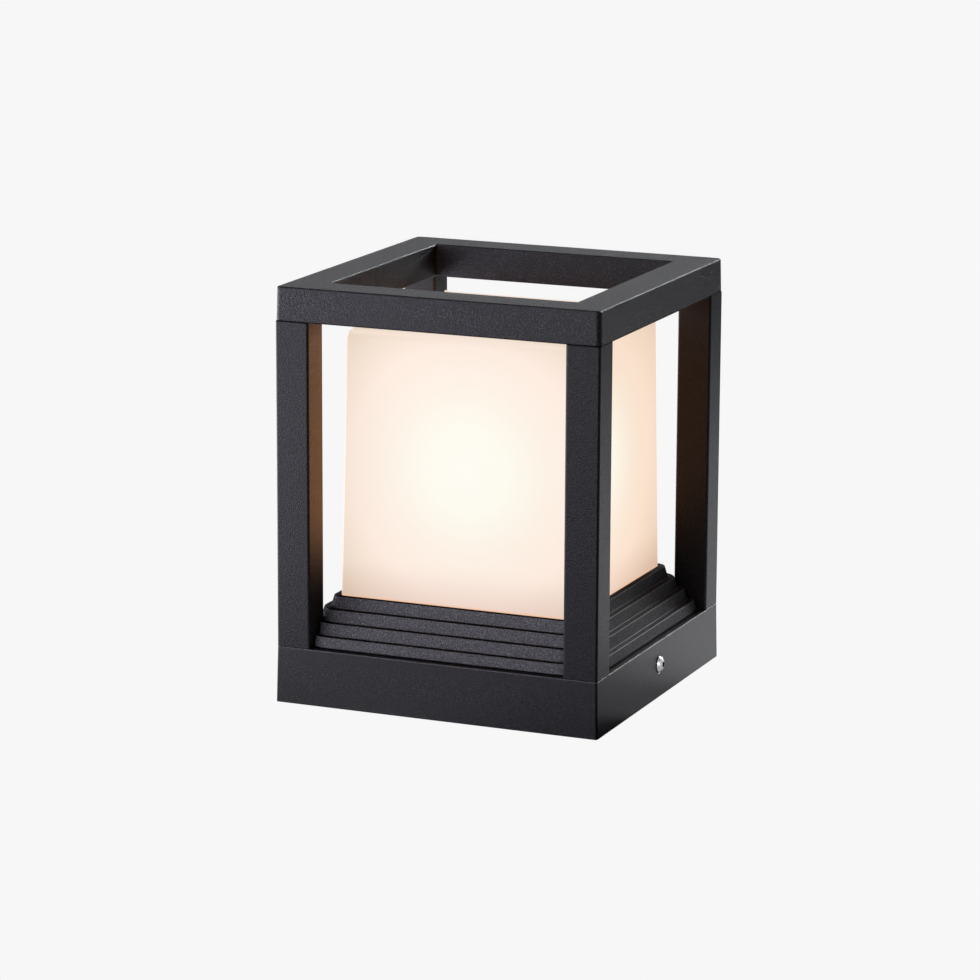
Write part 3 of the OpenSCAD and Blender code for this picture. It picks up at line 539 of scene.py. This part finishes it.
finishes.update(
    white_plastic=moulded("white_plastic", (0.72, 0.71, 0.68), (0.78, 0.77, 0.75), 0.38),
    black_nylon=moulded("black_nylon", (0.012, 0.012, 0.013), (0.022, 0.022, 0.023), 0.42),
    seal_rubber=rubber(), opal_globe=opal_globe(), porcelain=glazed_ceramic())
print("finishes so far:", len(finishes))

# %% [markdown]
# ## Board and leads
#
# The lamp's round board is white solder mask with copper rings under it and yellow light chips
# on top, which stand higher than the mask, so the height alone tells them apart. The leads
# have a smooth sheath of soft plastic. The earth lead is green with a yellow stripe along each
# side, and the side is found from the object's normals, because they turn with the lead.

# %% Board and leads
mask_top = 112.0 * mm
ring_turn = 2.4 / mm  # how fast the copper rings' sine wave turns, in radians a metre


def circuit_board():
    board = Finish("circuit_board")
    x, y, z = board.apart(board.place)
    out = (x ** 2 + y ** 2) ** 0.5
    track = (out * ring_turn).through("SINE").above(0.55, 0.75)
    grain = board.noise(1500.0, 2.0, 0.5)
    tone = board.mix(track * 0.35, (0.74, 0.75, 0.73), (0.52, 0.42, 0.27))
    tone = board.mix(z.above(mask_top, mask_top + 0.3 * mm), tone, (0.80, 0.55, 0.06))
    return board.surface(
        Base_Color=tone, Roughness=0.34 + grain * 0.12,
        Normal=board.bump(track + grain * 0.3, 0.03 * mm, 0.5))


def lead_sheath(name, tone, stripe):
    sheath = Finish(name)
    band = abs(sheath.normal()[2]).above(0.60, 0.66)
    wipe = sheath.noise(300.0, 2.0, 0.5)
    colour = sheath.mix(band, tone, stripe)
    return sheath.surface(
        Base_Color=sheath.mix(wipe * 0.25, colour, (0.30, 0.28, 0.25)),
        Roughness=0.36 + wipe * 0.14,
        Normal=sheath.bump(wipe, 0.05 * mm, 0.4))


finishes.update(
    circuit_board=circuit_board(),
    lead_brown=lead_sheath("lead_brown", (0.115, 0.040, 0.016), (0.125, 0.045, 0.018)),
    lead_blue=lead_sheath("lead_blue", (0.020, 0.090, 0.350), (0.024, 0.100, 0.370)),
    lead_green=lead_sheath("lead_green", (0.025, 0.180, 0.040), (0.700, 0.520, 0.030)))
print("finishes:", len(finishes))

# %% [markdown]
# ## Softer edges on a copy
#
# A CAD solid arrives as loose triangles with knife edges. A real edge has a small radius, and
# the light that runs along it is what makes a black part readable. So a copy of the mesh has
# its doubled points merged and its flat faces joined, and a Bevel with two segments rounds
# each edge that turns by more than thirty-five degrees. The result is taken off the modifier
# as a plain mesh, and each corner gets a normal that the largest face near it decides. Without
# that step a big flat wall would be shaded as if it bulged. The copy rides on the same body
# and replaces the solid. A Bevel's clamp shrinks all the rounds of a piece to what its
# shortest edge can take, so a piece whose rounds have to show goes without it.

# %% A dressed copy
body_of_node = {n: body for body, members in frame["record"]["behaviour"]["bodies"].items()
                for n in members}
slot_of_node = {p["node"]: p["material_slot"] for p in frame["record"]["subparts"]}
merge_gap, flat_turn, bevel_turn = 2e-6, math.radians(0.4), math.radians(35)


def shade_smooth(work, sharp_turn):
    """Smooth faces, apart from edges that are open or turn by more than some degrees."""
    for face in work.faces:
        face.smooth = True
    for edge in work.edges:
        edge.smooth = (len(edge.link_faces) == 2
                       and edge.calc_face_angle() < math.radians(sharp_turn))


def clean_copy(node, name, reshape):
    """The solid's mesh with its points merged, its flat faces joined and perhaps reshaped."""
    mesh = bpy.data.meshes.new(name)
    work = bmesh.new()
    work.from_mesh(frame["nodes"][node].data)
    bmesh.ops.remove_doubles(work, verts=work.verts, dist=merge_gap)
    bmesh.ops.dissolve_limit(work, angle_limit=flat_turn, verts=work.verts, edges=work.edges)
    if reshape:
        reshape(work)
    shade_smooth(work, sharp_turn=30)
    work.to_mesh(mesh)
    work.free()
    return mesh


def settle_normals(mesh):
    """Flat faces keep their own normal, so that only the small rounds bend the light."""
    alike = 0.64  # the cosine between faces that share a corner's normal
    faces = [(Vector(face.normal), face.area / mm ** 2, tuple(face.vertices))
             for face in mesh.polygons]
    around = [[] for point in mesh.vertices]
    for normal, area, corners in faces:
        for corner in corners:
            around[corner].append((normal, normal * area ** 2))
    settled = []
    for normal, area, corners in faces:
        for corner in corners:
            near = [share for other, share in around[corner] if other.dot(normal) > alike]
            settled.append(sum(near, Vector((0, 0, 0))).normalized())
    mesh.normals_split_custom_set(settled)


def dressed(node, radius=0.0, finish=None, clamp=True, reshape=None):
    """A copy of a solid with rounded edges, in its place on its body."""
    mesh = clean_copy(node, node + "_skin", reshape)
    mesh.materials.clear()
    mesh.materials.append(finishes[finish or slot_of_node[node]])
    piece = placed(node + "_skin", mesh)
    if radius:
        bevel = piece.modifiers.new("soft_edges", "BEVEL")
        bevel.width, bevel.segments = radius, 2
        bevel.limit_method, bevel.angle_limit = "ANGLE", bevel_turn
        bevel.use_clamp_overlap = clamp
        rounded = piece.evaluated_get(bpy.context.evaluated_depsgraph_get())
        piece.data = bpy.data.meshes.new_from_object(rounded)
        piece.modifiers.clear()
        settle_normals(piece.data)
    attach(piece, body_of_node[node])
    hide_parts(node)
    return piece


print("bodies with solids:", len(set(body_of_node.values())))

# %% [markdown]
# ## The cage, the steps and the base
#
# Each part has its own edge. The ring is cast and then sanded, so its edge is round by a
# millimetre. The posts are sawn from an extrusion, and the steps and the base are trimmed on
# their edges, so theirs are round by half a millimetre and less. Where two parts meet, the two
# small rounds make the fine seam that the photograph shows between a post and the ring, and
# painted shade in the coat darkens it.

# %% Coated parts
coated = {
    # node: (edge radius, finish)
    "base_housing": (0.25 * mm, "powder_coat"), "stepped_plinth": (0.4 * mm, "cast_coat"),
    "top_ring": (1.0 * mm, "coarse_coat"),
}
for corner in ("front_left", "front_right", "rear_left", "rear_right"):
    coated["post_" + corner] = (0.45 * mm, "post_coat")
for node, (radius, finish) in coated.items():
    dressed(node, radius, finish=finish, clamp=False)
print("coated pieces:", len(coated))

# %% [markdown]
# ## The shade's round crown
#
# The shade is moulded in one piece, so its lid turns into its walls through a round. The solid
# has a tight one, and the photograph shows a softer one, since no lid shows above the front
# rail. Each point of the round's straight runs is drawn out from the top edge by the same
# factor, down and inwards, and the lid's height and the walls stay where they are. The spare
# width leaves out the lid's points on each corner's own arc, so a small nib stays there.

# %% Shade
solid_round, soft_round = 3.0 * mm, 6.6 * mm
spare_height, spare_width = 0.05 * mm, 0.2 * mm


def soften_crown(work):
    """The solid's round, grown to the soft one."""
    top = max(point.co.z for point in work.verts)
    crown = [point for point in work.verts if top - point.co.z < solid_round + spare_height]
    half = max(abs(point.co.x) for point in crown)
    grow = soft_round / solid_round - 1
    for point in crown:
        x, y, z = point.co
        if max(abs(x), abs(y)) > half - solid_round - spare_width:
            drop = top - z
            inset = solid_round - max(solid_round ** 2 - (solid_round - drop) ** 2, 0) ** 0.5
            point.co = (x - math.copysign(inset * grow, x), y - math.copysign(inset * grow, y),
                        z - drop * grow)


shade = dressed("shade", reshape=soften_crown)
print("shade points:", len(shade.data.vertices))

# %% [markdown]
# ## Hardware, lamp and wiring
#
# Everything else sits inside the base, under the shade or in the pillar's top, and shows when
# the head is lifted, the shade is drawn off or the lamp is turned out. Each solid gets the edge
# that its making leaves: a pressed or turned part about a tenth of a millimetre, a moulding or
# a casting two or three.

# %% Inside parts
fine, pressed, moulding = 0.08 * mm, 0.15 * mm, 0.30 * mm
inside = {
    "mounting_bracket": pressed, "plinth_gasket": 0.0, "plinth_screws": fine, "tie_bolts": fine,
    "tie_washers": fine, "shade_gasket": 0.0, "shade_springs": 0.0, "spring_screws": fine,
    "holder_strap": pressed, "strap_screws": fine, "lampholder_body": moulding,
    "lampholder_contact": fine, "lampholder_screws": fine, "lampholder_nuts": fine,
    "bulb_globe": 0.0, "bulb_housing": 0.0, "bulb_insulator": 0.0, "bulb_contact": fine,
    "led_board": fine, "terminal_block": moulding, "terminal_sleeves": fine,
    "terminal_screws": fine, "block_screws": fine, "live_lead": 0.0, "neutral_lead": 0.0,
    "earth_lead": 0.0, "earth_lug": fine, "earth_screw": fine, "wiring_cover": pressed,
    "cover_gasket": 0.0, "cover_screws": fine, "gland_body": pressed, "gland_cap": moulding,
    "gland_seal": 0.0, "gland_nut": pressed, "gland_washer": 0.0,
    "lock_screw_left": pressed, "lock_screw_right": pressed, "screw_washer_left": pressed,
    "screw_washer_right": pressed, "clamp_nuts": pressed,
}
for node, radius in inside.items():
    dressed(node, radius, finish="bright_steel" if node.startswith("lock_screw") else None)
print("inside pieces:", len(inside))

# %% [markdown]
# ## Plans for Geometry Nodes
#
# Two kinds of trim follow a rule that is easier to draw as a tree than to model by hand. The
# tree is drawn with the same wires as a finish, and its sizes are inputs with names, so they can
# be changed on the modifier. The finished shape is taken off the modifier as a plain mesh.

# %% A plan for Geometry Nodes
class Plan(Drawing):
    """A Geometry Nodes tree whose sizes are named inputs."""

    def __init__(self, name, **sizes):
        super().__init__(bpy.data.node_groups.new(name, "GeometryNodeTree"))
        kinds = {float: "NodeSocketFloat", int: "NodeSocketInt"}
        self.given = {}
        for label, value in sizes.items():
            kind = kinds.get(type(value), "NodeSocketMaterial")
            socket = self.tree.interface.new_socket(label, in_out="INPUT", socket_type=kind)
            self.given[socket.identifier] = value
        self.tree.interface.new_socket("Shape", in_out="OUTPUT",
                                       socket_type="NodeSocketGeometry")
        entry = self.tree.nodes.new("NodeGroupInput")
        self.size = {label: Wire(self, entry.outputs[label]) for label in sizes}

    def piece(self, shape, name, on_node, replacing=True):
        """The plan carried out as a plain mesh, on the body and slot of a solid."""
        whole = self.node("GeometryNodeRealizeInstances", {}, {0: shape})
        coated = self.node("GeometryNodeSetMaterial", {}, {
            "Geometry": whole, "Material": self.size["Finish"]})
        exit_node = self.tree.nodes.new("NodeGroupOutput")
        self.tree.links.new(coated.socket, exit_node.inputs["Shape"])
        holder = placed(name + "_plan", bpy.data.meshes.new(name + "_plan"))
        steps = holder.modifiers.new("plan", "NODES")
        steps.node_group = self.tree
        for identifier, value in self.given.items():
            steps[identifier] = value
        ready = holder.evaluated_get(bpy.context.evaluated_depsgraph_get())
        mesh = bpy.data.meshes.new_from_object(ready)
        bpy.data.objects.remove(holder)
        work = bmesh.new()
        work.from_mesh(mesh)
        bmesh.ops.recalc_face_normals(work, faces=work.faces)
        shade_smooth(work, sharp_turn=38)
        work.to_mesh(mesh)
        work.free()
        made = placed(name, mesh)
        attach(made, body_of_node[on_node])
        if replacing:
            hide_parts(on_node)
        return made


print("plans ready")

# %% [markdown]
# ## Rolled threads
#
# The lamp's cap and the holder's shell are thin sheet with a round thread rolled into it, one
# ridge that climbs round the tube. A ridge like this follows a rule, so Geometry Nodes make it:
# a flat grid is the sheet unrolled, with its first direction round the tube and its second
# along the sheet's section, up the outside and down the inside. Set Position rolls it up, and
# the rule adds the ridge: the radius is a cosine of the height, shifted by one pitch a turn.
# Merging the two seams closes the sheet.

# %% Threads
pitch = 3.63 * mm
round_points, section_points = 61, 241


def rolled_thread(name, on_node, radius, ridge, sheet, bottom, top):
    """A tube of thin sheet with one round ridge that climbs round it."""
    plan = Plan(name, Radius=radius, Ridge=ridge, Sheet=sheet, Bottom=bottom, Top=top,
                Pitch=pitch, Finish=finishes[slot_of_node[on_node]])
    size = plan.size
    grid = plan.node("GeometryNodeMeshGrid", {}, {
        "Size X": 1.0, "Size Y": 1.0, "Vertices X": round_points, "Vertices Y": section_points})
    u, v, _ = plan.apart(plan.node("GeometryNodeInputPosition"))
    turn = (u + 0.5) * math.tau
    section = (v + 0.5) * math.tau
    lift = 0.5 - section.through("COSINE") * 0.5
    height = size["Bottom"] + lift * (size["Top"] - size["Bottom"])
    fade = lift.above(0.04, 0.16) * lift.below(0.84, 0.96)
    climb = ((height - size["Bottom"]) / size["Pitch"] * math.tau - turn).through("COSINE")
    face = (section.through("SINE") * 6.0).through("MINIMUM", 1.0).through("MAXIMUM", -1.0)
    out = size["Radius"] + climb * fade * size["Ridge"] + face * size["Sheet"] * 0.5
    rolled = plan.node("ShaderNodeCombineXYZ", {}, {
        0: turn.through("COSINE") * out, 1: turn.through("SINE") * out, 2: height})
    tube = plan.node("GeometryNodeSetPosition", {}, {"Geometry": grid, "Position": rolled})
    tube = plan.node("GeometryNodeMergeByDistance", {}, {"Geometry": tube, "Distance": 1e-6})
    return plan.piece(tube, name, on_node)


low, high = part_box("lampholder_shell")
shell_thread = rolled_thread(
    "shell_thread", "lampholder_shell", radius=high[0] - 0.42 * mm, ridge=0.20 * mm,
    sheet=0.36 * mm, bottom=low[2], top=high[2])
low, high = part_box("bulb_cap")
cap_thread = rolled_thread(
    "cap_thread", "bulb_cap", radius=high[0] - 0.45 * mm, ridge=0.40 * mm,
    sheet=0.30 * mm, bottom=low[2] + 0.6 * mm, top=high[2])
print("thread faces:", len(shell_thread.data.polygons), len(cap_thread.data.polygons))

# %% [markdown]
# ## Grip ribs on the gland's cap
#
# The plastic cap nut of a cable gland has short ribs on its six flats, so that wet fingers can
# turn it. One rib stands on each point of a short line, and the line is repeated six times
# round the axis: two Instance on Points nodes, the inner one for a flat and the outer one for
# the nut.

# %% Gland ribs
def grip_ribs(count, spacing, radius, proud, length):
    low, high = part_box("gland_cap")
    plan = Plan("grip_ribs", Ribs=count, Spacing=spacing, Radius=radius, Proud=proud,
                Length=length, Flat=(high[1] - low[1]) / 2, Finish=finishes["black_nylon"])
    size = plan.size
    rib = plan.node("GeometryNodeMeshCylinder", {"fill_type": "NGON"}, {
        "Vertices": 12, "Radius": size["Radius"], "Depth": size["Length"]})
    start = plan.node("ShaderNodeCombineXYZ", {}, {
        0: size["Spacing"] * (size["Ribs"] - 1) * -0.5,
        1: size["Flat"] - size["Radius"] + size["Proud"], 2: (low[2] + high[2]) / 2})
    step = plan.node("ShaderNodeCombineXYZ", {}, {0: size["Spacing"], 1: 0.0, 2: 0.0})
    line = plan.node("GeometryNodeMeshLine", {}, {
        "Count": size["Ribs"], "Start Location": start, "Offset": step})
    flat = plan.node("GeometryNodeInstanceOnPoints", {}, {"Points": line, "Instance": rib})
    axis = plan.node("GeometryNodeMeshLine", {}, {
        "Count": 6, "Start Location": ((low[0] + high[0]) / 2, (low[1] + high[1]) / 2, 0.0),
        "Offset": (0.0, 0.0, 0.0)})
    sixth = plan.node("GeometryNodeInputIndex") * (math.tau / 6)
    turned = plan.node("ShaderNodeCombineXYZ", {}, {0: 0.0, 1: 0.0, 2: sixth})
    nut = plan.node("GeometryNodeInstanceOnPoints", {}, {
        "Points": axis, "Instance": flat, "Rotation": turned})
    return plan.piece(nut, "gland_grips", "gland_cap", replacing=False)


grips = grip_ribs(count=5, spacing=1.7 * mm, radius=0.5 * mm, proud=0.15 * mm, length=7.0 * mm)
print("gland rib faces:", len(grips.data.polygons))

# %% [markdown]
# ## Floor and backdrop
#
# The photograph stands its lantern on plain near-white with no horizon and no shadow. The
# floor is one wide sheet that sends the camera that same near-white. What the lantern mirrors
# is another matter: a matt black face is drawn by what stands opposite to it, so towards the
# lantern the floor and the room shine as lobes, soft round areas with a direction, a width and
# a tint. A Light Path node keeps the two apart. A lobe is written as its direction in degrees,
# round from the right side and up, then the cosines of the angles at which it begins and is
# full, and its strength.

# %% Lobes of light
paper = 0.930
cool, neutral = (1.0, 0.97, 1.13), (1.0, 1.01, 1.06)


class Room(Drawing):
    """A tree that shines paper white at the camera and lobes of light at everything else."""

    toward = None  # becomes a wire: the direction that a ray leaves the lantern in

    def lobe(self, azimuth, elevation, begins, full, strength):
        a, e = math.radians(azimuth), math.radians(elevation)
        axis = (math.cos(e) * math.cos(a), math.cos(e) * math.sin(a), math.sin(e))
        cosine = self.node("ShaderNodeVectorMath", {"operation": "DOT_PRODUCT"},
                           {0: self.toward, 1: axis}, out=1)
        return cosine.above(begins, full) * strength

    def tinted(self, tint, strength):
        return self.node("ShaderNodeVectorMath", {"operation": "SCALE"},
                         {0: tint, "Scale": strength})

    def both(self, first, second):
        return self.node("ShaderNodeVectorMath", {"operation": "ADD"}, {0: first, 1: second})

    def shine(self, shader, output, light):
        lit = self.node(shader, {}, {"Color": light, "Strength": 1.0})
        shown = self.node(shader, {}, {"Color": (1.0, 1.0, 1.0), "Strength": paper})
        mixed = self.node("ShaderNodeMixShader", {}, {0: self.seen(), 1: lit, 2: shown})
        out = self.tree.nodes.new(output)
        self.tree.links.new(mixed.socket, out.inputs["Surface"])


print("paper white:", paper)

# %% [markdown]
# ## The floor's share
#
# Upright black faces mirror the floor, so the floor does most of the lighting. A large lobe on
# the left draws the front faces, one behind on the right draws the right faces, and two small
# ones lift the base, which mirrors only the floor just before it. Each lobe fades at some
# distance from the lantern.

# %% Floor
def floor_finish():
    sheet_paper = bpy.data.materials.new("floor_paper")
    sheet_paper.use_nodes = True
    sheet = Room(sheet_paper.node_tree)
    spot = sheet.node("ShaderNodeTexCoord", out=located)
    out = sheet.node("ShaderNodeVectorMath", {"operation": "LENGTH"}, {0: spot}, out=1)
    sheet.toward = sheet.node("ShaderNodeVectorMath", {"operation": "NORMALIZE"}, {0: spot})
    left = sheet.lobe(187.0, 0, 0.50, 1.00, 4.8) * out.above(0.20, 0.46) * out.below(3.0, 4.5)
    behind = sheet.lobe(64.5, 0, 0.52, 1.02, 0.70) * out.below(0.60, 1.08)
    near_left = sheet.lobe(225.0, 0, 0.20, 1.00, 0.36) * out.below(0.25, 0.90)
    near_right = sheet.lobe(35.0, 0, 0.40, 0.60, 0.26) * out.below(0.5, 2.0)
    light = sheet.both(sheet.tinted(cool, left),
                       sheet.tinted(neutral, behind + near_left + near_right))
    sheet.shine("ShaderNodeEmission", "ShaderNodeOutputMaterial", light)
    return sheet_paper


half_width = 12.0
floor_mesh = bpy.data.meshes.new("floor")
floor_mesh.from_pydata([(-half_width, -half_width, 0), (half_width, -half_width, 0),
                        (half_width, half_width, 0), (-half_width, half_width, 0)],
                       [], [(0, 1, 2, 3)])
floor_mesh.materials.append(floor_finish())
floor = placed("floor", floor_mesh)
floor.location.z = -0.5 * mm
print("floor:", 2 * half_width, "m wide")

# %% [markdown]
# ## The room's share
#
# The room adds three lobes. The key is low on the left and reaches the front, the window is low
# behind and draws the ring's top, and the rim is a narrow bright one behind on the right, which
# only the rounded upper edges mirror.

# %% Room
world = bpy.data.worlds.new("studio")
world.use_nodes = True
bpy.context.scene.world = world
room = Room(world.node_tree)
room.toward = room.node("ShaderNodeTexCoord", out=generated)
key = room.lobe(235.0, 0.0, 0.58, 0.93, 2.6)
window = room.lobe(120.0, 3.5, 0.76, 1.06, 0.60)
rim = room.lobe(78.0, 22.0, 0.976, 0.997, 27.0)
light = room.both(room.tinted(cool, key), room.tinted(neutral, window + rim))
room.shine("ShaderNodeBackground", "ShaderNodeOutputWorld", light)
bpy.context.scene.view_settings.view_transform = "Standard"
print("room lobes: key, window, rim")

# %% [markdown]
# ## A catch light for the side screw
#
# The black coat needs no more light, but the bright side screw tells how the lantern is held,
# so a narrow soft spot stands low on the right and reaches little more than the screw.

# %% Catch light
catch = bpy.data.lights.new("catch_light", "SPOT")
catch.energy, catch.shadow_soft_size = 210.0, 0.05
catch.spot_size, catch.spot_blend = math.radians(2.4), 1.0
catch_lamp = placed("catch_light", catch)
catch_lamp.location = (2.2, -0.9, 0.45)
washer_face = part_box("screw_washer_right")[1][0]
aim = Vector((washer_face, 0, screw_z)) - catch_lamp.location
catch_lamp.rotation_euler = aim.to_track_quat("-Z", "Y").to_euler()
print("catch light:", catch.energy, "W")

# %% [markdown]
# ## The end

# The visual model has to stay inside the solids' box.

# %% Finish
import json
